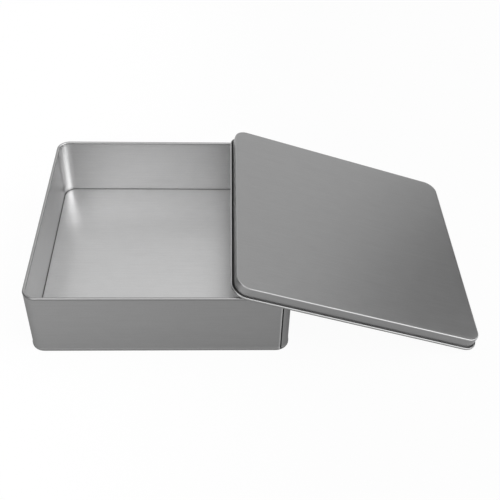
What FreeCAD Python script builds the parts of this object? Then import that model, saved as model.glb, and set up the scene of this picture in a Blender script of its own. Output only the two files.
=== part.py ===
import FreeCAD
import Part
import math
import os

# A square tinplate box, open, with its lift-off lid leaning on it. Millimetres, +Z up.
# The origin is the middle of the box's underside. +Y points to the back, and the lid
# leans over the right wall (+X) with its right edge on the ground.
# Every piece is thin sheet. A section is drawn as the sheet's bends in turn, in (u, z):
# u runs outward from a reference face and z runs up. It is then carried round the box.

# ---------------------------------------------------------------- sheet
SHEET = 0.28                # tinplate

# ---------------------------------------------------------------- body
BODY_LENGTH = 235.0         # outside, along X
BODY_WIDTH = 235.0          # outside, along Y
BODY_HEIGHT = 67.5          # ground to the top of the rim
BODY_CORNER = 12.5          # outside radius of the upright corners
RIM_RADIUS = 1.4            # rim rolled inward, outside radius
RIM_TURN = 300.0            # degrees of roll
RIM_BULGE = 0.20            # the rolled rim stands this far out of the wall
NECK_BEND = 0.60            # middle radius of the bend that brings the rim out

# ---------------------------------------------------------------- hem round the bottom
HEM_HEIGHT = 2.3            # upright part of the hem
HEM_BULGE = 0.40            # the hem stands this far out of the wall
HEM_BEND = 0.45             # outside radius of the two lower edges
STEP_BEND = 1.0             # middle radius of the two bends that bring the wall back in
HEM_LEG_GAP = 0.80          # inner leg's free edge to the floor above it

# ---------------------------------------------------------------- base panel
FLOOR_HEIGHT = 3.5          # ground to the top of the floor
FLOOR_BEND = 0.60           # outside radius where the floor turns down
BASE_CLEARANCE = 0.05       # base panel in the wall and its hem

# ---------------------------------------------------------------- side seam
SEAM_TURN = 24.0            # degrees into the front right corner, from the front wall
SEAM_WIDTH = 0.9            # butt line between the two ends of the strip
SEAM_DEPTH = 0.22           # of the sheet's thickness
LAP_WIDTH = 6.0             # backing lap inside the wall, along the corner
LAP_MARGIN = 0.6            # lap's ends to the floor and to the rolled rim

# ---------------------------------------------------------------- lid
LID_CLEARANCE = 0.65        # between wall and skirt, each side
LID_HEIGHT = 12.0           # outside
LID_EDGE = 1.0              # outside radius of the edge round the top
CURL_RADIUS = 1.25          # lower edge curled outward, outside radius
CURL_TURN = 245.0           # degrees of curl, open at the top

# ---------------------------------------------------------------- how the lid leans
SKIRT_RISE = 4.4            # left skirt's lower edge above the rim it hangs over
SEAT_GAP = 0.20             # panel above the right rim, where it comes nearest
SKEW_PLAY = 0.08            # left between rim and skirt where the skirt clears the rim


def sheet_section(start, heading, moves, right, left):
    """Face in the (u, z) plane between two offsets of a line of runs and bends.

    heading is in degrees from +u; a move is ("run", length) or ("bend", radius, degrees),
    where a positive bend turns left. right and left are the two offsets.
    """
    point = FreeCAD.Vector(start[0], 0.0, start[1])
    sides = ([], [])

    def direction(degrees):
        turn = math.radians(degrees)
        return FreeCAD.Vector(math.cos(turn), 0.0, math.sin(turn))

    def beside(at, degrees, offset):
        return at + direction(degrees + 90.0) * offset

    first = [beside(point, heading, -right), beside(point, heading, left)]
    for move in moves:
        if move[0] == "run":
            after = point + direction(heading) * move[1]
            for side, offset in zip(sides, (-right, left)):
                side.append(Part.makeLine(beside(point, heading, offset),
                                          beside(after, heading, offset)))
        else:
            radius, turn = move[1:]
            sense = math.copysign(1.0, turn)
            centre = beside(point, heading, sense * radius)
            middle = centre - direction(heading + turn / 2 + sense * 90.0) * radius
            after = centre - direction(heading + turn + sense * 90.0) * radius
            for side, offset in zip(sides, (-right, left)):
                ends = (beside(point, heading, offset),
                        beside(middle, heading + turn / 2, offset),
                        beside(after, heading + turn, offset))
                side.append(Part.Arc(*ends).toShape())
            heading += turn
        point = after
    last = [beside(point, heading, -right), beside(point, heading, left)]
    edges = sides[0] + [Part.makeLine(last[0], last[1])] + sides[1][::-1]
    edges.append(Part.makeLine(first[1], first[0]))
    return Part.Face(Part.Wire(Part.__sortEdges__(edges)))


def carried_round(section, length, width, corner):
    """Solid of a section carried round a rounded rectangle; u = 0 is its outline."""
    runs = (width - 2 * corner, length - 2 * corner)
    reaches = (length / 2, width / 2)
    pieces = []
    for quarter in range(4):
        run, reach = runs[quarter % 2], reaches[quarter % 2]
        turn = FreeCAD.Rotation(FreeCAD.Vector(0, 0, 1), 90.0 * quarter)
        side = section.copy()
        side.translate(FreeCAD.Vector(reach, -run / 2, 0))
        pieces.append(side.extrude(FreeCAD.Vector(0, run, 0)))
        bend = section.copy()
        bend.translate(FreeCAD.Vector(reach, run / 2, 0))
        centre = FreeCAD.Vector(reach - corner, run / 2, 0)
        pieces.append(bend.revolve(centre, FreeCAD.Vector(0, 0, 1), 90.0))
        for piece in pieces[-2:]:
            piece.Placement = FreeCAD.Placement(FreeCAD.Vector(), turn) * piece.Placement
    return pieces[0].multiFuse(pieces[1:]).removeSplitter()


def rounded_plate(length, width, corner, bottom, top):
    """Upright prism on a rounded rectangle."""
    box = Part.makeBox(length, width, top - bottom,
                       FreeCAD.Vector(-length / 2, -width / 2, bottom))
    upright = [edge for edge in box.Edges
               if abs(edge.Vertexes[0].Z - edge.Vertexes[-1].Z) > (top - bottom) / 2]
    return box.makeFillet(corner, upright)


def one_solid(shape):
    """The single solid of a shape."""
    return shape.Solids[0] if len(shape.Solids) == 1 else shape


# ---------------------------------------------------------------- derived
half_sheet = SHEET / 2
hem_outer = HEM_BULGE - half_sheet                      # middle lines, in u
flange_outer = -SHEET - BASE_CLEARANCE
hem_inner = flange_outer - SHEET - BASE_CLEARANCE - half_sheet
hem_bend = HEM_BEND - half_sheet
hem_leg = FLOOR_HEIGHT - SHEET - HEM_LEG_GAP
step_turn = math.degrees(math.acos(1.0 - HEM_BULGE / (2 * STEP_BEND)))
step_rise = 2 * STEP_BEND * math.sin(math.radians(step_turn))
wall_foot = HEM_HEIGHT + step_rise                      # where the plain wall starts
rim_bend = RIM_RADIUS - half_sheet
neck_turn = math.degrees(math.acos(1.0 - RIM_BULGE / (NECK_BEND + rim_bend)))
rim_centre_z = BODY_HEIGHT - RIM_RADIUS
neck_start = rim_centre_z - (NECK_BEND + rim_bend) * math.sin(math.radians(neck_turn))
floor_length = BODY_LENGTH + 2 * flange_outer
floor_width = BODY_WIDTH + 2 * flange_outer
floor_corner = BODY_CORNER + flange_outer
lid_growth = LID_CLEARANCE + SHEET
lid_length = BODY_LENGTH + 2 * lid_growth
lid_width = BODY_WIDTH + 2 * lid_growth
lid_corner = BODY_CORNER + lid_growth

# ---------------------------------------------------------------- body wall
# From the free edge inside the hem: down, across the ground, up the outside,
# back in to the plain wall, out at the neck, and inward round the rim.
outer_moves = [
    ("bend", hem_bend, 90.0),
    ("run", HEM_HEIGHT - HEM_BEND),
    ("bend", STEP_BEND, step_turn),
    ("bend", STEP_BEND, -step_turn),
    ("run", neck_start - wall_foot),
]
wall_moves = [
    ("run", hem_leg - HEM_BEND),
    ("bend", hem_bend, 90.0),
    ("run", hem_outer - hem_inner - 2 * hem_bend),
    *outer_moves,
    ("bend", NECK_BEND, -neck_turn),
    ("bend", rim_bend, RIM_TURN + neck_turn),
]
wall_section = sheet_section((hem_inner, hem_leg), -90.0, wall_moves,
                             half_sheet, half_sheet)
body_wall = carried_round(wall_section, BODY_LENGTH, BODY_WIDTH, BODY_CORNER)

# Side seam: the butt line follows the outside of the sheet, and a lap backs it inside.
corner_centre = FreeCAD.Vector(BODY_LENGTH / 2 - BODY_CORNER,
                               -BODY_WIDTH / 2 + BODY_CORNER, 0)


def corner_band(section, middle_turn, arc_length):
    """A section turned about the front right corner, centred middle_turn from the front."""
    sweep = math.degrees(arc_length / BODY_CORNER)
    band = section.copy()
    band.translate(FreeCAD.Vector(BODY_CORNER, 0, 0))
    band.rotate(FreeCAD.Vector(), FreeCAD.Vector(0, 0, 1), -90.0 + middle_turn - sweep / 2)
    band.translate(corner_centre)
    return band.revolve(corner_centre, FreeCAD.Vector(0, 0, 1), sweep)


groove_section = sheet_section((hem_outer - hem_bend, half_sheet), 0.0, outer_moves,
                               half_sheet + SHEET, SEAM_DEPTH - half_sheet)
body_wall = body_wall.cut(corner_band(groove_section, SEAM_TURN, SEAM_WIDTH))
lap_bottom = max(FLOOR_HEIGHT, wall_foot) + LAP_MARGIN
lap_top = BODY_HEIGHT - 2 * RIM_RADIUS - LAP_MARGIN
lap_section = sheet_section((-1.5 * SHEET, lap_bottom), 90.0,
                            [("run", lap_top - lap_bottom)], half_sheet, half_sheet)
body_wall = body_wall.fuse(corner_band(lap_section, SEAM_TURN, LAP_WIDTH)).removeSplitter()

# ---------------------------------------------------------------- base panel
# The floor turns down all round, and its edge stands in the hem.
floor_drop = FLOOR_HEIGHT - FLOOR_BEND - SHEET - BASE_CLEARANCE
floor_section = sheet_section(
    (-FLOOR_BEND, FLOOR_HEIGHT - half_sheet), 0.0,
    [("bend", FLOOR_BEND - half_sheet, -90.0), ("run", floor_drop)],
    half_sheet, half_sheet)
floor_edge = carried_round(floor_section, floor_length, floor_width, floor_corner)
floor_plate = rounded_plate(floor_length - 2 * FLOOR_BEND, floor_width - 2 * FLOOR_BEND,
                            floor_corner - FLOOR_BEND, FLOOR_HEIGHT - SHEET, FLOOR_HEIGHT)
base_panel = floor_edge.fuse(floor_plate).removeSplitter()

# ---------------------------------------------------------------- lid
# Drawn level, with the top of its panel at z = 0.
skirt_run = LID_HEIGHT - LID_EDGE - CURL_RADIUS
lid_section = sheet_section(
    (-LID_EDGE, -half_sheet), 0.0,
    [("bend", LID_EDGE - half_sheet, -90.0), ("run", skirt_run),
     ("bend", CURL_RADIUS - half_sheet, CURL_TURN)],
    half_sheet, half_sheet)
lid_edge = carried_round(lid_section, lid_length, lid_width, lid_corner)
lid_plate = rounded_plate(lid_length - 2 * LID_EDGE, lid_width - 2 * LID_EDGE,
                          lid_corner - LID_EDGE, -SHEET, 0.0)
lid = lid_edge.fuse(lid_plate).removeSplitter()

# It leans with its right curl on the ground and its left skirt SKIRT_RISE above the rim,
# which fixes the lean.
curl_centre_u = lid_length / 2 - half_sheet + CURL_RADIUS - half_sheet
lean = math.asin((BODY_HEIGHT + SKIRT_RISE) / (2 * curl_centre_u))

# Its side play lets it turn a little about the vertical at the right wall, until a skirt
# nears the rolled rim beside it. One end of the rim is then nearest the panel.
skirt_on_wall = (LID_HEIGHT - SHEET) / math.sin(lean)
skew = math.asin((LID_CLEARANCE - RIM_BULGE - SKEW_PLAY) / skirt_on_wall)
seat_x = (BODY_LENGTH / 2 + (RIM_BULGE - RIM_RADIUS) * math.cos(skew)
          + (BODY_WIDTH / 2 - BODY_CORNER) * math.sin(skew))

# The panel lies SEAT_GAP above that end. Its normal (sin, cos) of the lean is measured
# along to the rim's centre and to the curl's, which fixes where the curl stands.
spacing = RIM_RADIUS + SEAT_GAP + SHEET - (LID_HEIGHT - CURL_RADIUS)
drop = CURL_RADIUS - rim_centre_z
foot_x = seat_x + (spacing - math.cos(lean) * drop) / math.sin(lean)

tilt = FreeCAD.Rotation(FreeCAD.Vector(0, 1, 0), math.degrees(lean))
foot = tilt.multVec(FreeCAD.Vector(curl_centre_u, 0, CURL_RADIUS - LID_HEIGHT))
leaning = FreeCAD.Placement(FreeCAD.Vector(foot_x, 0, CURL_RADIUS) - foot, tilt)
turned = FreeCAD.Placement(FreeCAD.Vector(),
                           FreeCAD.Rotation(FreeCAD.Vector(0, 0, 1), -math.degrees(skew)),
                           FreeCAD.Vector(BODY_LENGTH / 2, 0, 0))
lid.Placement = turned * leaning * lid.Placement

# ---------------------------------------------------------------- files
nodes = {"body_wall": body_wall, "base_panel": base_panel, "lid": lid}
os.makedirs("parts", exist_ok=True)
for name, shape in nodes.items():
    one_solid(shape).exportStep(os.path.join("parts", name + ".step"))
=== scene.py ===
"""A square tinplate box, open, with its shallow lift-off lid leaning over the right wall.

Every piece is thin sheet. Its bends are drawn as a section and carried round a rounded
square, in the frame of the CAD model, whose three solids these pieces stand for.
"""
import logging
import math
from dataclasses import dataclass, field
from enum import Enum, IntEnum

import bpy
import numpy as np
from mathutils import Matrix, Vector


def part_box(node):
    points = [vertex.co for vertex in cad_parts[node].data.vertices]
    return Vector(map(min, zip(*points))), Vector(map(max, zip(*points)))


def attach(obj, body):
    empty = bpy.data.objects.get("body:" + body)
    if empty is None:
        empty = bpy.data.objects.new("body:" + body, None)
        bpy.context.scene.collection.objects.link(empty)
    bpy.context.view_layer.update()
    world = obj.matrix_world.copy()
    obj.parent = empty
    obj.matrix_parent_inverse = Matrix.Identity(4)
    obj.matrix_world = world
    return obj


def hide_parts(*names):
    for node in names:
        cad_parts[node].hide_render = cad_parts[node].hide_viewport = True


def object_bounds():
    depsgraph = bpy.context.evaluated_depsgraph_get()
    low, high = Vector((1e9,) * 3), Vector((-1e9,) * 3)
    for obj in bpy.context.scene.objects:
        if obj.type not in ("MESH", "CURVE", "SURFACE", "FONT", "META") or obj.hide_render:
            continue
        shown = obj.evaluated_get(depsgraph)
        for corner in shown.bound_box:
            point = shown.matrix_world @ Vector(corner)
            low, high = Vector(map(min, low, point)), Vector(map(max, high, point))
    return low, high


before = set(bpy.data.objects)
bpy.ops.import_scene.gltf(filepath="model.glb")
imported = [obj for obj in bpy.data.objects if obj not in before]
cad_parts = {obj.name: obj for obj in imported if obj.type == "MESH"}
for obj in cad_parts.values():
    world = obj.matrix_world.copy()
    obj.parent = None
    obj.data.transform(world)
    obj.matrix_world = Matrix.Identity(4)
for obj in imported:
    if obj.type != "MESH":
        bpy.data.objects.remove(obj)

LOG = logging.getLogger("tin_box")
MM = 0.001
BODY = "root"
NOISE_MIDDLE = 0.5
QUARTER_TURN = 90.0
FULL_TURN = 360.0
CAD_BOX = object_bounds()


# ------------------------------------------------------------------ shader maths
class Signal:
    """A shader socket that takes part in Python expressions."""

    def __init__(self, graph: "Graph", socket: bpy.types.NodeSocket) -> None:
        """Keeps the socket and the graph it belongs to.

        Args:
            graph: The material or world graph.
            socket: An output socket of that graph.
        """
        self.graph = graph
        self.socket = socket

    def _math(self, operation: str, *values: "Signal | float") -> "Signal":
        """One Math node.

        Args:
            operation: The node's operation.
            *values: Its inputs in order.

        Returns:
            The node's value.
        """
        settings = {"operation": operation}
        return self.graph.node("ShaderNodeMath", settings, dict(enumerate(values)))

    def __add__(self, other: "Signal | float") -> "Signal":
        """self + other."""
        return self._math("ADD", self, other)

    def __radd__(self, other: float) -> "Signal":
        """other + self."""
        return self._math("ADD", other, self)

    def __sub__(self, other: "Signal | float") -> "Signal":
        """self - other."""
        return self._math("SUBTRACT", self, other)

    def __rsub__(self, other: float) -> "Signal":
        """other - self."""
        return self._math("SUBTRACT", other, self)

    def __mul__(self, other: "Signal | float") -> "Signal":
        """self * other."""
        return self._math("MULTIPLY", self, other)

    def __rmul__(self, other: float) -> "Signal":
        """other * self."""
        return self._math("MULTIPLY", other, self)

    def at_most(self, other: "Signal | float") -> "Signal":
        """The smaller of the two."""
        return self._math("MINIMUM", self, other)

    def swing(self, amount: float) -> "Signal":
        """Noise, turned into a swing about 0 of up to amount either way."""
        return (self - NOISE_MIDDLE) * (2 * amount)

    def ramp(self, low: float, high: float) -> "Signal":
        """A smooth step from 0 to 1.

        Args:
            low: Where the step starts.
            high: Where it ends.

        Returns:
            The stepped value.
        """
        return self.graph.node(
            "ShaderNodeMapRange",
            {"interpolation_type": "SMOOTHSTEP"},
            {"Value": self, "From Min": low, "From Max": high},
        )


class Graph:
    """A node tree that is built by calls."""

    def __init__(self, tree: bpy.types.NodeTree) -> None:
        """Empties a node tree.

        Args:
            tree: The tree of a material or a world.
        """
        self.tree = tree
        tree.nodes.clear()

    def node(
        self,
        kind: str,
        settings: dict[str, object] | None = None,
        values: dict[str | int, object] | None = None,
        output: str | int = 0,
    ) -> Signal | None:
        """Adds a node.

        Args:
            kind: The node's type.
            settings: Its properties, which are set first.
            values: Values or signals for its input sockets.
            output: The output to return.

        Returns:
            That output, or nothing from a node without outputs.
        """
        made = self.tree.nodes.new(kind)
        for name, value in (settings or {}).items():
            setattr(made, name, value)
        for name, value in (values or {}).items():
            socket = made.inputs[name]
            if isinstance(value, Signal):
                self.tree.links.new(value.socket, socket)
            else:
                socket.default_value = value
        return Signal(self, made.outputs[output]) if made.outputs else None

    def noise(self, cells: tuple[float, float], detail: float, seed: float) -> Signal:
        """Noise over the flat sheet.

        Args:
            cells: How many cells there are to the metre, along the sheet and across it.
            detail: The number of finer layers.
            seed: The slice of the noise.

        Returns:
            A value about the noise's middle.
        """
        sheet = self.node("ShaderNodeTexCoord", output="UV")
        place = self.node(
            "ShaderNodeVectorMath", {"operation": "MULTIPLY"}, {0: sheet, 1: (*cells, 0.0)}
        )
        return self.node(
            "ShaderNodeTexNoise",
            {"noise_dimensions": "4D"},
            {"Vector": place, "W": seed, "Scale": 1.0, "Detail": detail},
            "Fac",
        )


def new_material(name: str) -> tuple[bpy.types.Material, Graph]:
    """Makes a material.

    Args:
        name: The material's name.

    Returns:
        The material and its empty graph.
    """
    made = bpy.data.materials.new(name)
    made.use_nodes = True
    return made, Graph(made.node_tree)


def grey(level: float) -> tuple[float, float, float, float]:
    """A neutral colour."""
    return (level, level, level, 1.0)


# ------------------------------------------------------------------ finishes
class Grain(Enum):
    """How long and how fine the rolling streaks are, in cells to the metre of flat sheet."""

    STRIP = (14.0, 700.0)
    PANEL = (18.0, 640.0)


class Layer(Enum):
    """The noise layers of a finish: how far each one's slice is from the seed, and its detail."""

    LONG_STREAK = (0.0, 2.0)
    SHORT_STREAK = (3.0, 2.0)
    MOTTLE = (7.0, 3.0)
    SPANGLE = (11.0, 1.0)


class Mark(Enum):
    """What is written on the sheet's points for the finish: painted shade and painted highlight.
    """

    CREASE = "painted_shade"
    PAINTED_HIGHLIGHT = "painted_highlight"


@dataclass(frozen=True)
class TinFinish:
    """Rolled tinplate: a grey metal with fine streaks along the sheet and a faint mottle, with
    painted shade and painted highlight from marks on the sheet's points.

    The cells of the mottle and of the spangle are counted to the metre. The short streaks
    are so many times finer than the long ones, along the sheet and across it.
    """

    name: str
    level: float
    roughness: float
    grain: Grain
    streak: float = 0.05
    finer: tuple[float, float] = (6.0, 3.4)
    mottle: float = 0.04
    mottle_cells: tuple[float, float] = (60.0, 90.0)
    spangle_cells: tuple[float, float] = (700.0, 700.0)
    blue_cast: float = 1.002
    roughness_spread: float = 0.04
    relief: float = 0.012 * MM
    relief_strength: float = 0.5
    streak_relief: float = 0.6
    spangle_relief: float = 0.4
    # Colour and roughness where shade is painted, and colour where highlight is painted.
    painted_shade_level: float = 0.03
    painted_shade_roughness: float = 0.3
    painted_highlight_level: float = 0.62
    edge_tint: float = 0.65
    seed: float = 0.0

    def layer(self, graph: Graph, layer: Layer, cells: tuple[float, float]) -> Signal:
        """One of the finish's noise layers.

        Args:
            graph: The material's graph.
            layer: Which layer.
            cells: Its cells to the metre, along the sheet and across it.

        Returns:
            The noise, about its middle.
        """
        slice_from_seed, detail = layer.value
        return graph.noise(cells, detail, self.seed + slice_from_seed)

    def material(self) -> bpy.types.Material:
        """Builds the material.

        Returns:
            The finished material.
        """
        made, graph = new_material(self.name)
        along, across = self.grain.value
        short_cells = (self.finer[0] * along, self.finer[1] * across)
        long_streak = self.layer(graph, Layer.LONG_STREAK, (along, across))
        short_streak = self.layer(graph, Layer.SHORT_STREAK, short_cells)
        mottle = self.layer(graph, Layer.MOTTLE, self.mottle_cells)
        spangle = self.layer(graph, Layer.SPANGLE, self.spangle_cells)
        tone = (
            1.0
            + long_streak.swing(self.streak)
            + short_streak.swing(self.streak)
            + mottle.swing(self.mottle)
            + spangle.swing(self.mottle)
        )
        # The two marks paint shade and highlight into the colour: the one darkens it, the other
        # lifts it.
        painted_shade, painted_highlight = (
            graph.node("ShaderNodeAttribute", {"attribute_name": mark.value}, output="Fac")
            for mark in Mark
        )
        bright = self.level + painted_highlight * (self.painted_highlight_level - self.level)
        shade = tone * bright * (1.0 - painted_shade) + painted_shade * self.painted_shade_level
        colour = graph.node(
            "ShaderNodeCombineColor", None, {0: shade, 1: shade, 2: shade * self.blue_cast}
        )
        roughness = (
            self.roughness
            + mottle.swing(self.roughness_spread / 2)
            + short_streak.swing(self.roughness_spread / 2)
            + painted_shade * self.painted_shade_roughness
        )
        height = short_streak * self.streak_relief + spangle * self.spangle_relief
        bump = graph.node(
            "ShaderNodeBump",
            None,
            {"Strength": self.relief_strength, "Distance": self.relief, "Height": height},
        )
        shader = graph.node(
            "ShaderNodeBsdfPrincipled",
            None,
            {
                "Base Color": colour,
                "Metallic": 1.0,
                "Specular Tint": grey(self.edge_tint),
                "Roughness": roughness,
                "Normal": bump,
            },
        )
        graph.node("ShaderNodeOutputMaterial", None, {"Surface": shader})
        return made


# The outsides' low level is partly the finish and partly painted shade, for the darker
# surroundings that they reflect. The lid's inside, far darker than the box's inside, is painted
# shade under the lid.
OUTSIDE_STRIP = TinFinish("outside_strip", 0.28, 0.38, Grain.STRIP, seed=1.0)
INSIDE_STRIP = TinFinish("inside_strip", 0.70, 0.34, Grain.STRIP, seed=2.0)
FLOOR_PANEL = TinFinish("floor_panel", 0.70, 0.33, Grain.PANEL, seed=3.0)
LID_OUTSIDE = TinFinish("lid_outside", 0.29, 0.33, Grain.PANEL, edge_tint=1.0, seed=4.0)
LID_INSIDE_PAINTED_SHADE = TinFinish("lid_inside_painted_shade", 0.28, 0.38, Grain.PANEL, seed=5.0)


# ------------------------------------------------------------------ sheet metal
START = -1


class Skin(IntEnum):
    """The two faces of a sheet, which are its material slots."""

    OUTSIDE = 0
    INSIDE = 1


@dataclass(frozen=True)
class Profile:
    """A quantity that follows another one in straight stretches."""

    at: tuple[float, ...]
    to: tuple[float, ...]

    def read(self, value: float | np.ndarray) -> float | np.ndarray:
        """Its value at one place or at many."""
        return np.interp(value, self.at, self.to)


@dataclass(frozen=True)
class Run:
    """A straight stretch of a section."""

    length: float


@dataclass(frozen=True)
class Bend:
    """An arc of a section; positive degrees turn left."""

    radius: float
    degrees: float


@dataclass(frozen=True)
class Section:
    """A bent sheet in (u, z), where u runs outward from the outline and z runs up.

    The middle line starts at start with a heading in degrees from +u. Lengths are in
    millimetres.
    """

    start: tuple[float, float]
    heading: float
    moves: tuple[Run | Bend, ...]
    sheet: float
    run_step: float = 6.0
    bend_step: float = 12.0

    def line(self, offset: float) -> "SkinLine":
        """The line beside the middle one.

        Args:
            offset: How far to its left.

        Returns:
            The line's points, their lengths along it and the moves they belong to.
        """
        at = np.array(self.start, float)
        heading = math.radians(self.heading)

        def along(angle: float) -> np.ndarray:
            """The unit vector of an angle."""
            return np.array([math.cos(angle), math.sin(angle)])

        def left(angle: float) -> np.ndarray:
            """The unit vector a quarter turn left of an angle."""
            return along(angle + math.pi / 2)

        points, parts = [at + left(heading) * offset], [START]
        for part, move in enumerate(self.moves):
            if isinstance(move, Run):
                steps = max(1, round(move.length / self.run_step))
                for step in range(1, steps + 1):
                    here = at + along(heading) * (move.length * step / steps)
                    points.append(here + left(heading) * offset)
                at = at + along(heading) * move.length
            else:
                steps = max(2, round(abs(move.degrees) / self.bend_step))
                sense = math.copysign(1.0, move.degrees)
                centre = at + left(heading) * (sense * move.radius)
                for step in range(1, steps + 1):
                    angle = heading + math.radians(move.degrees) * step / steps
                    here = centre - left(angle) * (sense * move.radius)
                    points.append(here + left(angle) * offset)
                heading += math.radians(move.degrees)
                at = centre - left(heading) * (sense * move.radius)
            parts += [part] * (len(points) - len(parts))
        made = np.array(points)
        steps = np.linalg.norm(np.diff(made, axis=0), axis=1)
        return SkinLine(made, np.append(0.0, np.cumsum(steps)), np.array(parts))

    def skins(self) -> tuple["SkinLine", "SkinLine"]:
        """The right and the left face of the sheet, both from start to end."""
        return self.line(-self.sheet / 2), self.line(self.sheet / 2)


@dataclass(frozen=True)
class SkinLine:
    """One face of a section: its points, lengths along it, and the move of each point.

    The first point comes before any move, and has START there.
    """

    points: np.ndarray
    lengths: np.ndarray
    parts: np.ndarray

    def walk(self, backwards: bool = False) -> list[tuple[float, float, float, int]]:
        """u, z, length and move of each point, in either order."""
        rows = list(zip(*self.points.T, self.lengths, self.parts))
        return rows[::-1] if backwards else rows


@dataclass(frozen=True)
class Outline:
    """A rounded rectangle, seen from above, in millimetres."""

    length: float
    width: float
    corner: float
    straight_step: float = 8.0
    corner_steps: int = 20
    decimals: int = 6

    @property
    def runs(self) -> tuple[float, float]:
        """The straight lengths of the right and left sides, and of the back and front."""
        return (self.width - 2 * self.corner, self.length - 2 * self.corner)

    @property
    def arc(self) -> float:
        """The length of one rounded corner."""
        return self.corner * math.pi / 2

    @property
    def around(self) -> float:
        """The whole way round."""
        return 2 * sum(self.runs) + 4 * self.arc

    def stations(self, extra: tuple[float, ...] = ()) -> "Stations":
        """Places round the outline, from the middle of the +X side, turning left.

        Args:
            extra: Further arc lengths at which to stand.

        Returns:
            The places with their outward directions and arc lengths.
        """
        runs, arc = self.runs, self.arc
        lengths, at = [], -runs[0] / 2
        for side in range(4):
            run = runs[side % 2]
            count = max(1, round(run / self.straight_step))
            lengths += [at + run * k / count for k in range(count)]
            at += run
            lengths += [at + arc * k / self.corner_steps for k in range(self.corner_steps)]
            at += arc
        lengths = sorted(set(round(s, self.decimals) for s in lengths) | set(extra))
        lengths = [s for s in lengths if s < at - 10.0**-self.decimals]
        return Stations(self, np.array(lengths), at - lengths[0])

    def place(self, length: float) -> tuple[float, float, float, float]:
        """The point and outward direction at an arc length.

        Args:
            length: Distance from the middle of the +X side, turning left.

        Returns:
            x, y and the outward direction's x and y.
        """
        runs, arc = self.runs, self.arc
        halves = ((self.length / 2, self.width / 2), (self.width / 2, self.length / 2))
        side, rest = 0, length + runs[0] / 2
        while side < 3 and rest > runs[side % 2] + arc:
            rest -= runs[side % 2] + arc
            side += 1
        run, turn = runs[side % 2], side * math.pi / 2
        out, across = halves[side % 2]
        if rest <= run:
            u, v, angle = out, rest - run / 2, 0.0
        else:
            angle = (rest - run) / self.corner
            u = out - self.corner + self.corner * math.cos(angle)
            v = across - self.corner + self.corner * math.sin(angle)
        c, s = math.cos(turn), math.sin(turn)
        facing = turn + angle
        return (u * c - v * s, u * s + v * c, math.cos(facing), math.sin(facing))


@dataclass(frozen=True)
class Stations:
    """The places on an outline at which a section stands."""

    outline: Outline
    lengths: np.ndarray
    total: float

    def frames(self) -> np.ndarray:
        """x, y and outward direction of each place."""
        return np.array([self.outline.place(s) for s in self.lengths])


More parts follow.
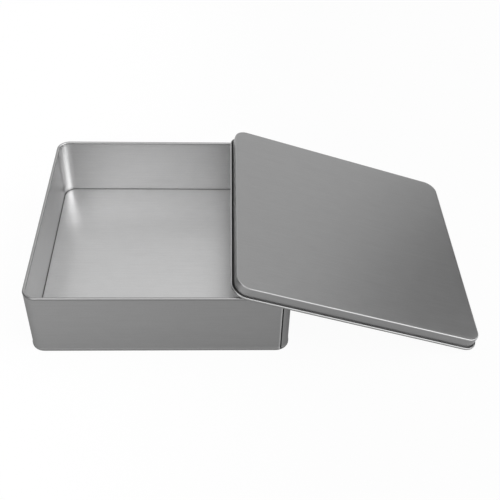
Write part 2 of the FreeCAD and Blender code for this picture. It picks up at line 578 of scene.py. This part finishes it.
class SheetMesh:
    """Rings of points round an outline, joined to a closed skin."""

    def __init__(self, stations: Stations, strip: bool) -> None:
        """Starts with no rings.

        Args:
            stations: The places that every ring passes.
            strip: Whether the sheet was cut as a strip; otherwise as one flat blank.
        """
        self.stations = stations
        self.strip = strip
        self.frames = stations.frames()
        self.rings: list[np.ndarray] = []
        self.marks: dict[Mark, list[np.ndarray]] = {mark: [] for mark in Mark}
        self.blank: list[np.ndarray] = []
        self.sharp: set[int] = set()
        self.skin_of: list[int] = []

    @property
    def sideways(self) -> np.ndarray:
        """How far each place faces right or left: 1 on those walls, 0 on the others."""
        return np.abs(self.frames[:, 2])

    @property
    def frontward(self) -> np.ndarray:
        """How far each place faces the front: 1 on the front wall, 0 on the others."""
        return np.clip(-self.frames[:, 3], 0, 1)

    def add(
        self,
        u: float | np.ndarray,
        z: float | np.ndarray,
        skin: Skin,
        flat: float,
        scale: float = 1.0,
        painted_shade: float | np.ndarray = 0.0,
        painted_highlight: float | np.ndarray = 0.0,
    ) -> None:
        """Adds a ring.

        Args:
            u: Outward distance from the outline, one number or one for each place.
            z: Height, in the same way.
            skin: The face of the sheet from this ring to the next.
            flat: Outward distance on the flat sheet, before it was bent.
            scale: Share of the way out from the middle, for rings within a panel.
            painted_shade: How much shade is painted on the ring, from 0 to 1.
            painted_highlight: How much highlight is painted on the ring, from 0 to 1.
        """
        x, y, nx, ny = self.frames.T
        ring = np.stack(
            [(x + nx * u) * scale, (y + ny * u) * scale, np.broadcast_to(z, x.shape)], 1
        )
        if self.strip:
            sheet = np.stack([self.stations.lengths, np.full(x.shape, flat)], 1)
        else:
            sheet = np.stack([(x + nx * flat) * scale, (y + ny * flat) * scale], 1)
        self.blank.append(sheet)
        self.rings.append(ring)
        for mark, amount in ((Mark.CREASE, painted_shade), (Mark.PAINTED_HIGHLIGHT, painted_highlight)):
            self.marks[mark].append(np.broadcast_to(amount, x.shape).astype(float))
        self.skin_of.append(int(skin))

    def edge(self) -> None:
        """Makes the last ring a sharp edge."""
        self.sharp.add(len(self.rings) - 1)

    def build(self, name: str, closed: bool) -> bpy.types.Object:
        """Makes the object.

        Args:
            name: The piece's name.
            closed: Whether the last ring joins the first, as where the rings run up the
                outside. Otherwise they run outward over the top, and both ends are capped.

        Returns:
            The object, in metres.
        """
        count, ring_count = len(self.frames), len(self.rings)
        verts, blank = np.concatenate(self.rings), np.concatenate(self.blank)
        faces, slots = [], []
        for ring in range(ring_count if closed else ring_count - 1):
            after = (ring + 1) % ring_count
            for k in range(count):
                n = (k + 1) % count
                faces.append(
                    (ring * count + k, ring * count + n, after * count + n, after * count + k)
                )
                slots.append(self.skin_of[ring])
        if not closed:
            for ring, flip in ((0, True), (ring_count - 1, False)):
                verts = np.vstack([verts, self.rings[ring].mean(0)])
                blank = np.vstack([blank, self.blank[ring].mean(0)])
                hub = len(verts) - 1
                for k in range(count):
                    a, b = ring * count + k, ring * count + (k + 1) % count
                    faces.append((hub, b, a) if flip else (hub, a, b))
                    slots.append(self.skin_of[ring])
            faces = [face[::-1] for face in faces]
        corners = np.array([v for face in faces for v in face])
        uvs = blank[corners]
        if self.strip:
            column = corners % count
            first = np.repeat(column[0::4], 4)
            uvs[(column == 0) & (first == count - 1), 0] += self.stations.total
        mesh = bpy.data.meshes.new(name)
        mesh.from_pydata([tuple(v * MM) for v in verts], [], faces)
        mesh.polygons.foreach_set("material_index", slots)
        mesh.polygons.foreach_set("use_smooth", [True] * len(faces))
        layer = mesh.uv_layers.new(name="Sheet")
        layer.data.foreach_set("uv", (uvs * MM).ravel())
        hubs = np.zeros(len(verts) - ring_count * count)
        for mark, rows in self.marks.items():
            attribute = mesh.attributes.new(mark.value, "FLOAT", "POINT")
            attribute.data.foreach_set("value", np.concatenate(rows + [hubs]))
        sharp = mesh.attributes.new("sharp_edge", "BOOLEAN", "EDGE")
        flags = []
        for edge in mesh.edges:
            a, b = edge.vertices
            ring = a // count
            flags.append(ring == b // count and ring in self.sharp and ring < ring_count)
        sharp.data.foreach_set("value", flags)
        mesh.validate()
        made = bpy.data.objects.new(name, mesh)
        bpy.context.scene.collection.objects.link(made)
        return made


def bearing(out: float, up: float) -> float:
    """The direction of (out, up) in degrees up from outward, between -90 and 270."""
    return (math.degrees(math.atan2(up, out)) + QUARTER_TURN) % FULL_TURN - QUARTER_TURN


# ------------------------------------------------------------------ the box's wall
class WallFold(IntEnum):
    """The moves of the wall's section, in order, from inside the hem to the rim."""

    LEG = 0
    HEM_INNER_BEND = 1
    HEM_UNDERSIDE = 2
    HEM_OUTER_BEND = 3
    HEM_FACE = 4
    STEP_IN = 5
    STEP_UP = 6
    FOOT = 7
    PLAIN = 8
    NECK = 9
    RIM = 10


@dataclass(frozen=True)
class Seam:
    """The upright side seam: a shallow groove, darkened with painted shade, beside a raised lip
    with a painted highlight.

    Its turn is in degrees round the front right corner. The lip's profile is measured from
    the groove's first edge, and places before and after the groove get a point each.
    """

    turn: float = 24.0
    width: float = 1.5
    depth: float = 0.22
    mouth: float = 0.02
    bank: float = 0.06
    lip: float = 0.16
    lip_profile: Profile = Profile((-1.6, -0.8, -0.1, 0.0), (0.0, 0.6, 1.0, 0.0))
    lip_highlight: float = 0.8
    before: tuple[float, ...] = (1.6, 0.8, 0.25, 0.1, 0.0)
    after: tuple[float, ...] = (0.0, 0.1, 0.6, 1.2)

    def places(self) -> tuple[float, ...]:
        """The places at which the seam's shape needs a point.

        Returns:
            Their distances from its middle, in order.
        """
        half = self.width / 2
        before = tuple(-half - away for away in self.before)
        after = tuple(half + away for away in self.after)
        return before + (-half + self.bank, half - self.bank) + after

    def groove_at(self, away: np.ndarray) -> np.ndarray:
        """How deep the groove is.

        Args:
            away: Distances from the seam's middle.

        Returns:
            The share of the groove's depth at each.
        """
        half = self.width / 2
        first, last = half + self.mouth, half - self.bank
        return Profile((-first, -last, last, first), (0.0, 1.0, 1.0, 0.0)).read(away)

    def lip_at(self, away: np.ndarray) -> np.ndarray:
        """The share of the lip's height at distances from the seam's middle."""
        return self.lip_profile.read(away + self.width / 2)


@dataclass
class Wall:
    """The wall strip: hem, plain wall, rolled rim and upright side seam.

    Lengths are in millimetres. The rim's painted highlight and painted shade follow the direction
    that its surface faces, in degrees up from outward, and the painted shade at the foot follows
    the height over the floor. That painted shade is weaker on the front and back walls than on
    the other two.
    """

    length: float = 235.0
    width: float = 235.0
    height: float = 67.5
    corner: float = 12.5
    sheet: float = 0.28
    rim_radius: float = 1.4
    rim_turn: float = 300.0
    rim_bulge: float = 0.20
    neck_bend: float = 0.60
    hem_height: float = 2.3
    hem_bulge: float = 0.40
    hem_bend: float = 0.45
    step_bend: float = 1.0
    hem_leg_gap: float = 0.80
    floor_height: float = 3.5
    base_clearance: float = 0.05
    foot: float = 4.2
    seam: Seam = Seam()
    rim_highlight: Profile = Profile((16.0, 36.0, 90.0, 120.0), (0.0, 0.3, 0.3, 0.45))
    rim_shade: Profile = Profile((10.0, 34.0), (0.34, 0.0))
    foot_shade: Profile = Profile((0.0, 3.6), (1.0, 0.0))
    foot_shade_all: float = 0.12
    foot_shade_sides: float = 0.33
    roll_shade: float = 0.8

    def section(self) -> Section:
        """Works out the strip's section.

        Returns:
            The section, from the free edge inside the hem to the end of the rim.
        """
        half = self.sheet / 2
        outer = self.hem_bulge - half
        inner = -2 * (self.sheet + self.base_clearance) - half
        leg = self.floor_height - self.sheet - self.hem_leg_gap
        bend = self.hem_bend - half
        turn = math.degrees(math.acos(1 - self.hem_bulge / (2 * self.step_bend)))
        rise = 2 * self.step_bend * math.sin(math.radians(turn))
        roll = self.rim_radius - half
        neck = math.degrees(math.acos(1 - self.rim_bulge / (self.neck_bend + roll)))
        shoulder = (self.neck_bend + roll) * math.sin(math.radians(neck))
        plain = self.height - self.rim_radius - shoulder - self.hem_height - rise
        moves = (
            Run(leg - self.hem_bend),
            Bend(bend, QUARTER_TURN),
            Run(outer - inner - 2 * bend),
            Bend(bend, QUARTER_TURN),
            Run(self.hem_height - self.hem_bend),
            Bend(self.step_bend, turn),
            Bend(self.step_bend, -turn),
            Run(self.foot),
            Run(plain - self.foot),
            Bend(self.neck_bend, -neck),
            Bend(roll, self.rim_turn + neck),
        )
        return Section((inner, leg), -QUARTER_TURN, moves, self.sheet)

    def seam_at(self, outline: Outline) -> float:
        """Arc length of the side seam, in the front right corner."""
        turn = math.radians(self.seam.turn) * self.corner
        return -outline.runs[0] / 2 - outline.arc + turn + outline.around

    def build(self) -> bpy.types.Object:
        """Makes the wall.

        Returns:
            The finished piece.
        """
        outline = Outline(self.length, self.width, self.corner)
        seam = self.seam_at(outline)
        stations = outline.stations(tuple(seam + away for away in self.seam.places()))
        mesh = SheetMesh(stations, strip=True)
        right, left = self.section().skins()
        away = stations.lengths - seam
        groove, lip = self.seam.groove_at(away), self.seam.lip_at(away)
        rim_u, rim_z = self.rim_bulge - self.rim_radius, self.height - self.rim_radius
        for u, z, flat, part in right.walk():
            cut = 1.0 if WallFold.HEM_OUTER_BEND <= part < WallFold.NECK else 0.0
            relief = cut * (lip * self.seam.lip - groove * self.seam.depth)
            # Painted highlight on the seam's lip and painted shade in its groove.
            highlight, shade = self.seam.lip_highlight * lip * cut, groove * cut
            # On the rim, painted highlight and painted shade follow the way its surface faces.
            if part == WallFold.RIM:
                facing = bearing(u - rim_u, z - rim_z)
                highlight, shade = self.rim_highlight.read(facing), self.rim_shade.read(facing)
            mesh.add(u + relief, z, Skin.OUTSIDE, flat, painted_shade=shade, painted_highlight=highlight)
        mesh.edge()
        strength = self.foot_shade_all + self.foot_shade_sides * mesh.sideways
        for count, (u, z, flat, part) in enumerate(left.walk(backwards=True)):
            # Painted shade at the foot, stronger on the side walls, and in the hollow of the
            # rolled rim.
            shade = self.foot_shade.read(z - self.floor_height) * strength
            if part == WallFold.RIM:
                shade = self.roll_shade
            mesh.add(u, z, Skin.INSIDE, flat, painted_shade=shade)
            if not count:
                mesh.edge()
        mesh.edge()
        mesh.sharp.add(0)
        made = mesh.build("wall_strip", closed=True)
        made.data.materials.append(OUTSIDE_STRIP.material())
        made.data.materials.append(INSIDE_STRIP.material())
        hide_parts("body_wall")
        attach(made, BODY)
        return made


# ------------------------------------------------------------------ panels
@dataclass
class Panel:
    """A flat sheet whose edge turns down all round: the base and the lid.

    Its flat field has rings from the innermost share of the way out to the outermost.
    """

    wall: Wall = field(default_factory=Wall)
    dish: float = 0.0
    ring_count: int = 22
    innermost: float = 0.04
    outermost: float = 0.97

    def rings_within(
        self, mesh: SheetMesh, u: float, z: float, skin: Skin, outward: bool
    ) -> None:
        """Adds the rings of a flat field, whose middle sinks by the dish.

        Args:
            mesh: The mesh to add them to.
            u: Outward distance at which the field ends.
            z: Its height.
            skin: Its face of the sheet.
            outward: Whether the rings run outward.
        """
        scales = np.linspace(self.innermost, self.outermost, self.ring_count)
        for scale in scales if outward else scales[::-1]:
            depth = self.dish * (1 - scale**2) ** 2
            mesh.add(u, z - depth, skin, u, scale=float(scale))


@dataclass
class Base(Panel):
    """The raised floor of the box, whose edge stands in the hem.

    The joint with the wall is darkened with painted shade, more along the right and left walls.
    """

    dish: float = 0.25
    bend: float = 0.60
    joint_shade: float = 0.78
    joint_shade_sides: float = 0.12

    def build(self) -> bpy.types.Object:
        """Makes the base panel.

        Returns:
            The finished piece.
        """
        wall = self.wall
        inset = wall.sheet + wall.base_clearance
        outline = Outline(
            wall.length - 2 * inset, wall.width - 2 * inset, wall.corner - inset
        )
        half = wall.sheet / 2
        drop = wall.floor_height - self.bend - wall.sheet - wall.base_clearance
        section = Section(
            (-self.bend, wall.floor_height - half),
            0.0,
            (Bend(self.bend - half, -QUARTER_TURN), Run(drop)),
            wall.sheet,
            run_step=1.0,
        )
        under, top = section.skins()
        mesh = SheetMesh(outline.stations(), strip=False)
        joint = self.joint_shade + self.joint_shade_sides * mesh.sideways
        self.rings_within(mesh, -self.bend, wall.floor_height, Skin.OUTSIDE, True)
        for u, z, flat, part in top.walk():
            # Painted shade on the bend where the floor meets the wall, more along the side walls.
            shade = joint if part > START else 0.0
            mesh.add(u, z, Skin.OUTSIDE, flat - self.bend, painted_shade=shade)
        mesh.edge()
        for count, (u, z, flat, _) in enumerate(under.walk(backwards=True)):
            mesh.add(u, z, Skin.OUTSIDE, flat - self.bend)
            if not count:
                mesh.edge()
        lower = wall.floor_height - wall.sheet
        self.rings_within(mesh, -self.bend, lower, Skin.OUTSIDE, False)
        made = mesh.build("base_sheet", closed=False)
        made.data.materials.append(FLOOR_PANEL.material())
        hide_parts("base_panel")
        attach(made, BODY)
        return made


class LidFold(IntEnum):
    """The moves of the lid's section, in order, from the panel to the curl."""

    EDGE = 0
    SKIRT_TOP = 1
    SKIRT = 2
    SKIRT_FOOT = 3
    CURL = 4


@dataclass
class Lid(Panel):
    """The drawn lid: panel, rounded edge, skirt and outward curl.

    Lengths are in millimetres. The skirt's two ends are short moves of their own, over which
    the painted highlight of the edge and of the curl fades. The edge's painted highlight and the
    curl's painted shade follow the direction that the surface faces, in degrees up from outward.
    """

    dish: float = 0.35
    clearance: float = 0.65
    height: float = 12.0
    edge: float = 1.0
    fade: float = 0.25
    curl_radius: float = 1.25
    curl_turn: float = 245.0
    skirt_rise: float = 4.4
    seat_gap: float = 0.20
    skew_play: float = 0.08
    edge_highlight: Profile = Profile((16.0, 40.0), (0.0, 0.28))
    gutter_highlight_front: float = 0.7
    gutter_shade_elsewhere: float = 0.25
    curl_highlight: float = 1.0
    curl_highlight_lost_in_front: float = 0.6
    curl_shade_front: Profile = Profile((0.0, 40.0), (0.45, 0.0))

    def outline(self) -> Outline:
        """The outside of the skirt.

        Returns:
            The wall's outline, grown by the clearance and the sheet.
        """
        growth = self.clearance + self.wall.sheet
        return Outline(
            self.wall.length + 2 * growth,
            self.wall.width + 2 * growth,
            self.wall.corner + growth,
        )

    def placement(self) -> Matrix:
        """Where the lid lies: its right curl on the ground, its panel over the right rim.

        Returns:
            The matrix from the lid's own frame, with its panel's top at z = 0.
        """
        wall = self.wall
        half = wall.sheet / 2
        reach = self.outline().length / 2 - half + self.curl_radius - half
        lean = math.asin((wall.height + self.skirt_rise) / (2 * reach))
        on_wall = (self.height - wall.sheet) / math.sin(lean)
        skew = math.asin((self.clearance - wall.rim_bulge - self.skew_play) / on_wall)
        seat = (
            wall.length / 2
            + (wall.rim_bulge - wall.rim_radius) * math.cos(skew)
            + (wall.width / 2 - wall.corner) * math.sin(skew)
        )
        depth = self.height - self.curl_radius
        spacing = wall.rim_radius + self.seat_gap + wall.sheet - depth
        drop = self.curl_radius - (wall.height - wall.rim_radius)
        foot_x = seat + (spacing - math.cos(lean) * drop) / math.sin(lean)
        tilt = Matrix.Rotation(lean, 4, "Y")
        foot = tilt @ Vector((reach, 0, -depth))
        move = Matrix.Translation(Vector((foot_x, 0, self.curl_radius)) - foot)
        pivot = Matrix.Translation((wall.length / 2, 0, 0))
        turned = pivot @ Matrix.Rotation(-skew, 4, "Z") @ pivot.inverted()
        placed = turned @ move @ tilt
        placed.translation *= MM
        return placed

    def build(self) -> bpy.types.Object:
        """Makes the lid.

        Returns:
            The finished piece.
        """
        sheet = self.wall.sheet
        half = sheet / 2
        section = Section(
            (-self.edge, -half),
            0.0,
            (
                Bend(self.edge - half, -QUARTER_TURN),
                Run(self.fade),
                Run(self.height - self.edge - self.curl_radius - 2 * self.fade),
                Run(self.fade),
                Bend(self.curl_radius - half, self.curl_turn),
            ),
            sheet,
            run_step=2.0,
        )
        under, top = section.skins()
        mesh = SheetMesh(self.outline().stations(), strip=False)
        front = mesh.frontward
        curl_u, curl_z = self.curl_radius - sheet, self.curl_radius - self.height
        self.rings_within(mesh, -self.edge, 0.0, Skin.OUTSIDE, True)
        for u, z, flat, part in top.walk():
            highlight, shade = 0.0, 0.0
            # Painted highlight on the rounded edge; in the curl's gutter, painted highlight at
            # the front and painted shade elsewhere.
            if part == LidFold.EDGE:
                highlight = self.edge_highlight.read(bearing(u + self.edge, z + self.edge))
            elif part == LidFold.CURL:
                highlight = self.gutter_highlight_front * front
                shade = self.gutter_shade_elsewhere * (1 - front)
            mesh.add(u, z, Skin.OUTSIDE, flat - self.edge, painted_shade=shade, painted_highlight=highlight)
        mesh.edge()
        for count, (u, z, flat, part) in enumerate(under.walk(backwards=True)):
            highlight, shade = 0.0, 0.0
            # Painted highlight on the curl, weaker at the front, and painted shade on its lower
            # side at the front.
            if part == LidFold.CURL:
                facing = bearing(u - curl_u, z - curl_z)
                highlight = self.curl_highlight - self.curl_highlight_lost_in_front * front
                shade = self.curl_shade_front.read(facing) * front
            mesh.add(u, z, Skin.INSIDE, flat - self.edge, painted_shade=shade, painted_highlight=highlight)
            if not count:
                mesh.edge()
        self.rings_within(mesh, -self.edge, -sheet, Skin.INSIDE, False)
        made = mesh.build("lid_sheet", closed=False)
        made.data.transform(self.placement())
        made.data.materials.append(LID_OUTSIDE.material())
        made.data.materials.append(LID_INSIDE_PAINTED_SHADE.material())
        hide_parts("lid")
        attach(made, BODY)
        return made


# ------------------------------------------------------------------ studio
def rectangle(name: str, across: float, over: float) -> bpy.types.Object:
    """A flat rectangle about its own middle.

    Args:
        name: The object's name.
        across: Half its width, in metres.
        over: Half its height.

    Returns:
        The object, which is not yet in the scene.
    """
    mesh = bpy.data.meshes.new(name)
    corners = [(-across, -over, 0), (across, -over, 0), (across, over, 0), (-across, over, 0)]
    mesh.from_pydata(corners, [], [(0, 1, 2, 3)])
    return bpy.data.objects.new(name, mesh)


@dataclass(frozen=True)
class Card:
    """A matt or glowing board, which the metal reflects and the camera does not see.

    It stands on a sphere round the object: its azimuth is clockwise from the back, seen
    from above, and both angles and the two spans are in degrees.
    """

    name: str
    azimuth: float
    elevation: float
    wide: float
    high: float
    level: float
    distance: float = 4.0

    def build(self, target: Vector) -> None:
        """Stands the board up.

        Args:
            target: The middle of its sphere.
        """
        turn, rise = math.radians(self.azimuth), math.radians(self.elevation)
        towards = Vector((
            math.sin(turn) * math.cos(rise), math.cos(turn) * math.cos(rise), math.sin(rise)
        ))
        across = self.distance * math.tan(math.radians(self.wide / 2))
        over = self.distance * math.tan(math.radians(self.high / 2))
        made = rectangle(self.name, across, over)
        side = Vector((math.cos(turn), -math.sin(turn), 0.0))
        frame_of = Matrix((side, side.cross(-towards), -towards)).transposed()
        made.matrix_world = (
            Matrix.Translation(target + towards * self.distance) @ frame_of.to_4x4()
        )
        material, graph = new_material(self.name)
        shader = graph.node(
            "ShaderNodeEmission", None, {"Color": grey(1.0), "Strength": self.level}
        )
        graph.node("ShaderNodeOutputMaterial", None, {"Surface": shader})
        made.data.materials.append(material)
        made.visible_camera = False
        bpy.context.scene.collection.objects.link(made)


@dataclass
class Studio:
    """Pale floor, soft lamps and the camera.

    The floor's colour darkens to the right over a stretch of X, in metres, as painted shade that
    the metal reflects. It is plain white by the share floor_lift in a direct view and by
    floor_gloss in the metal. The camera's place is in millimetres, and its angles are in radians.
    """

    floor_half: float = 20.0
    floor_drop: float = 0.05 * MM
    floor_colour: float = 0.94
    floor_lift: float = 0.96
    floor_gloss: float = 0.45
    floor_painted_shade: float = 0.46
    painted_shade_stretch: tuple[float, float] = (-0.16, 0.20)
    sky: float = 0.70
    sensor: float = 36.0
    clip: tuple[float, float] = (0.01, 100.0)
    camera_place: tuple[float, float, float] = (52.4, -618.22, 579.81)
    yaw: float = 0.05216
    pitch: float = 0.73726
    roll: float = 0.03652
    lens: float = 59.536
    cards: tuple[Card, ...] = (
        Card("left_flag", 262.0, 34.0, 76.0, 66.0, 0.05),
        Card("back_left_board", 326.0, 36.0, 40.0, 50.0, 0.69, 4.2),
        Card("back_board", 354.0, 41.0, 22.0, 26.0, 0.69, 4.1),
        Card("back_softbox", 25.0, 26.0, 24.0, 14.0, 1.05),
        Card("corner_flag", 49.0, 22.0, 20.0, 24.0, 0.05),
        Card("high_board", 40.0, 52.0, 50.0, 34.0, 0.98, 4.4),
        Card("low_right_softbox", 100.0, 22.0, 84.0, 24.0, 2.41),
        Card("right_softbox", 105.0, 48.0, 90.0, 30.0, 3.0),
        Card("front_right_board", 163.0, 40.0, 36.0, 44.0, 0.72, 4.1),
        Card("front_softbox", 192.0, 37.0, 22.0, 30.0, 0.83),
        Card("front_left_board", 212.0, 38.0, 26.0, 40.0, 2.67, 4.1),
        Card("top_board", 0.0, 89.0, 48.0, 48.0, 1.41, 4.5),
    )

    def rays(self, graph: Graph) -> tuple[Signal, ...]:
        """1 for camera rays, for glossy rays and for rays that come through glass."""
        kinds = ("Is Camera Ray", "Is Glossy Ray", "Is Transmission Ray")
        return tuple(graph.node("ShaderNodeLightPath", output=kind) for kind in kinds)

    def seen(self, graph: Graph) -> Signal:
        """1 for the rays that show the background, 0 for those that light the object.

        Args:
            graph: The graph to build it in.

        Returns:
            The mask.
        """
        camera, glossy, through = self.rays(graph)
        return (camera + glossy + through).at_most(1.0)

    def lift(self, graph: Graph) -> Signal:
        """How much of the floor's look is plain white, for each kind of ray.

        Args:
            graph: The graph to build it in.

        Returns:
            The share, most of it in a direct view.
        """
        camera, glossy, through = self.rays(graph)
        share = camera * self.floor_lift + (glossy + through) * self.floor_gloss
        return share.at_most(self.floor_lift)

    def floor(self) -> None:
        """Lays the floor."""
        made = rectangle("floor", self.floor_half, self.floor_half)
        made.location.z = -self.floor_drop
        material, graph = new_material("floor")
        place = graph.node("ShaderNodeNewGeometry", output="Position")
        across = graph.node("ShaderNodeSeparateXYZ", None, {0: place}, output="X")
        # Painted shade: the floor's colour darkens to the right.
        shade = self.floor_colour - across.ramp(*self.painted_shade_stretch) * self.floor_painted_shade
        tone = graph.node("ShaderNodeCombineColor", None, {0: shade, 1: shade, 2: shade})
        paper = graph.node("ShaderNodeBsdfDiffuse", None, {"Color": tone})
        light = graph.node("ShaderNodeEmission", None, {"Color": grey(1.0), "Strength": 1.0})
        shader = graph.node(
            "ShaderNodeMixShader", None, {0: self.lift(graph), 1: paper, 2: light}
        )
        graph.node("ShaderNodeOutputMaterial", None, {"Surface": shader})
        made.data.materials.append(material)
        bpy.context.scene.collection.objects.link(made)

    def world(self) -> None:
        """Surrounds the set with an even light."""
        world = bpy.data.worlds.new("studio")
        bpy.context.scene.world = world
        world.use_nodes = True
        graph = Graph(world.node_tree)
        seen = self.seen(graph)
        level = seen + (1.0 - seen) * self.sky
        shader = graph.node(
            "ShaderNodeBackground", None, {"Color": grey(1.0), "Strength": level}
        )
        graph.node("ShaderNodeOutputWorld", None, {"Surface": shader})

    def camera(self) -> None:
        """Sets up the camera."""
        data = bpy.data.cameras.new("camera")
        data.lens = self.lens
        data.sensor_width = self.sensor
        data.clip_start, data.clip_end = self.clip
        made = bpy.data.objects.new("camera", data)
        yaw, pitch, roll = self.yaw, self.pitch, self.roll
        ahead = Vector((
            math.sin(yaw) * math.cos(pitch), math.cos(yaw) * math.cos(pitch), -math.sin(pitch)
        ))
        side = Vector((math.cos(yaw), -math.sin(yaw), 0.0))
        up = side.cross(ahead)
        right = side * math.cos(roll) + up * math.sin(roll)
        over = up * math.cos(roll) - side * math.sin(roll)
        turn = Matrix((right, over, -ahead)).transposed()
        made.matrix_world = Matrix.Translation(Vector(self.camera_place) * MM) @ turn.to_4x4()
        bpy.context.scene.collection.objects.link(made)
        bpy.context.scene.camera = made

    def build(self, target: Vector) -> None:
        """Builds the set.

        Args:
            target: The middle of the object.
        """
        bpy.context.scene.view_settings.view_transform = "Standard"
        self.floor()
        self.world()
        for card in self.cards:
            card.build(target)
        self.camera()


def box_of(made: bpy.types.Object) -> tuple[np.ndarray, np.ndarray]:
    """Measures an object's box in the frame.

    Args:
        made: The object.

    Returns:
        Its lowest and its highest corner.
    """
    bpy.context.view_layer.update()
    points = np.array([made.matrix_world @ v.co for v in made.data.vertices])
    return points.min(0), points.max(0)


def main() -> None:
    """Builds the pieces in order and reports each."""
    logging.basicConfig(level=logging.INFO, format="%(name)s: %(message)s")
    wall = Wall()
    for maker, node in ((wall, "body_wall"), (Base(wall), "base_panel"), (Lid(wall), "lid")):
        made = maker.build()
        low, high = box_of(made)
        solid_low, solid_high = (np.array(corner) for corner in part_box(node))
        gap = max(np.abs(low - solid_low).max(), np.abs(high - solid_high).max())
        LOG.info("%s: %d faces, %.2f mm from the box of %s", made.name,
                 len(made.data.polygons), gap / MM, node)
    low, high = (Vector(corner) for corner in CAD_BOX)
    Studio().build((low + high) / 2)
    LOG.info("studio and camera are set")


if __name__ == "__main__":
    main()
